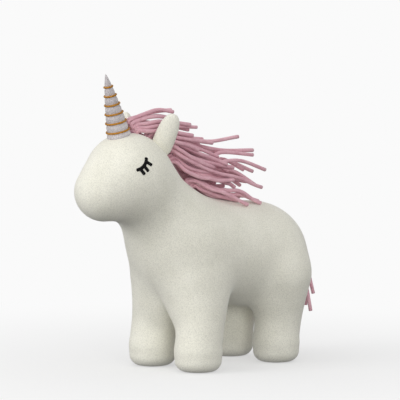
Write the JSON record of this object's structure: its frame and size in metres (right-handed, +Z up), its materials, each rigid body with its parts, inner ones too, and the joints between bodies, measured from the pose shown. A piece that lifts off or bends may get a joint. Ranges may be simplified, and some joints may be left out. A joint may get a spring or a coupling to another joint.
{
  "type": "plush unicorn",
  "caption": "Standing stuffed felt unicorn with a chubby body, soft legs, corded horn, leaf ears, closed embroidered eyes and a yarn mane and tail.",
  "frame": {"origin": "on the ground under the middle of the toy's bounding box", "axes": "+Z up, -Y the way the toy faces, +X the toy's own left side"},
  "size_m": [0.1554, 0.3565, 0.3477],
  "materials": {
    "body_felt": "matte fleece felt",
    "horn_felt": "matte flecked felt",
    "gold_cord": "twisted metallic cord",
    "eye_thread": "satin stitch",
    "mane_yarn": "matte felted yarn",
    "mane_binding": "woven tape",
    "stuffing": "polyester fibre"
  },
  "bodies": {
    "body": {"left_body_panel": "body_felt", "right_body_panel": "body_felt", "belly_gusset": "body_felt", "body_stuffing": "stuffing", "neck_stuffing": "stuffing", "withers_tape": "mane_binding", "tail_tab": "body_felt"},
    "head": {"left_head_panel": "body_felt", "right_head_panel": "body_felt", "head_stuffing": "stuffing", "left_eye": "eye_thread", "right_eye": "eye_thread", "crest_tape": "mane_binding"},
    "left_ear": {"left_ear_cover": "body_felt", "left_ear_stuffing": "stuffing"},
    "right_ear": {"right_ear_cover": "body_felt", "right_ear_stuffing": "stuffing"},
    "horn": {"horn_cover": "horn_felt", "horn_stuffing": "stuffing", "horn_ring_1": "gold_cord", "horn_ring_2": "gold_cord", "horn_ring_3": "gold_cord", "horn_ring_4": "gold_cord", "horn_ring_5": "gold_cord", "horn_ring_6": "gold_cord"},
    "front_left_leg": {"front_left_leg_cover": "body_felt", "front_left_leg_stuffing": "stuffing", "front_left_sole": "body_felt"},
    "front_right_leg": {"front_right_leg_cover": "body_felt", "front_right_leg_stuffing": "stuffing", "front_right_sole": "body_felt"},
    "rear_left_leg": {"rear_left_leg_cover": "body_felt", "rear_left_leg_stuffing": "stuffing", "rear_left_sole": "body_felt"},
    "rear_right_leg": {"rear_right_leg_cover": "body_felt", "rear_right_leg_stuffing": "stuffing", "rear_right_sole": "body_felt"},
    "forelock": {"forelock": "mane_yarn"},
    "nape_mane": {"nape_locks": "mane_yarn"},
    "withers_mane": {"withers_locks": "mane_yarn"},
    "tail_root": {"tail_knot": "mane_binding"},
    "tail": {"tail_strands": "mane_yarn"}
  },
  "joints": [
    {"name": "head_nod", "type": "hinge", "parent": "body", "child": "head", "pos_m": [0, -0.066, 0.2], "axis": [1, 0, 0], "range_deg": [-4, 10], "stiffness_Nm_per_rad": 3},
    {"name": "left_ear_fold", "type": "hinge", "parent": "head", "child": "left_ear", "pos_m": [0.02195, -0.07652, 0.26046], "axis": [0.3802, 0.5802, -0.7203], "range_deg": [-30, 7], "stiffness_Nm_per_rad": 0.03},
    {"name": "right_ear_fold", "type": "hinge", "parent": "head", "child": "right_ear", "pos_m": [-0.02195, -0.07652, 0.26046], "axis": [0.3802, -0.5802, 0.7203], "range_deg": [-30, 7], "stiffness_Nm_per_rad": 0.03},
    {"name": "horn_tilt", "type": "hinge", "parent": "head", "child": "horn", "pos_m": [0, -0.12064, 0.27658], "axis": [1, 0, 0], "range_deg": [-8, 8], "stiffness_Nm_per_rad": 0.15},
    {"name": "front_left_leg_swing", "type": "hinge", "parent": "body", "child": "front_left_leg", "pos_m": [0.039, -0.032, 0.084], "axis": [1, 0, 0], "range_deg": [-12, 12], "stiffness_Nm_per_rad": 1.5},
    {"name": "front_right_leg_swing", "type": "hinge", "parent": "body", "child": "front_right_leg", "pos_m": [-0.039, -0.032, 0.084], "axis": [1, 0, 0], "range_deg": [-12, 12], "stiffness_Nm_per_rad": 1.5},
    {"name": "rear_left_leg_swing", "type": "hinge", "parent": "body", "child": "rear_left_leg", "pos_m": [0.039, 0.098, 0.084], "axis": [1, 0, 0], "range_deg": [-12, 12], "stiffness_Nm_per_rad": 1.5},
    {"name": "rear_right_leg_swing", "type": "hinge", "parent": "body", "child": "rear_right_leg", "pos_m": [-0.039, 0.098, 0.084], "axis": [1, 0, 0], "range_deg": [-12, 12], "stiffness_Nm_per_rad": 1.5},
    {"name": "forelock_lift", "type": "hinge", "parent": "head", "child": "forelock", "pos_m": [0, -0.09893, 0.28644], "axis": [1, 0, 0], "range_deg": [-2, 35], "stiffness_Nm_per_rad": 0.12},
    {"name": "nape_mane_lift", "type": "hinge", "parent": "head", "child": "nape_mane", "pos_m": [0, -0.06895, 0.27277], "axis": [1, 0, 0], "range_deg": [0, 8], "stiffness_Nm_per_rad": 0.5},
    {"name": "withers_mane_lift", "type": "hinge", "parent": "body", "child": "withers_mane", "pos_m": [0, -0.00242, 0.21376], "axis": [1, 0, 0], "range_deg": [0, 4], "stiffness_Nm_per_rad": 0.12},
    {"name": "tail_swing", "type": "hinge", "parent": "body", "child": "tail_root", "pos_m": [0, 0.16079, 0.15248], "axis": [0, 1, 0], "range_deg": [-25, 25]},
    {"name": "tail_lift", "type": "hinge", "parent": "tail_root", "child": "tail", "pos_m": [0, 0.16079, 0.15248], "axis": [1, 0, 0], "range_deg": [0, 60]}
  ]
}
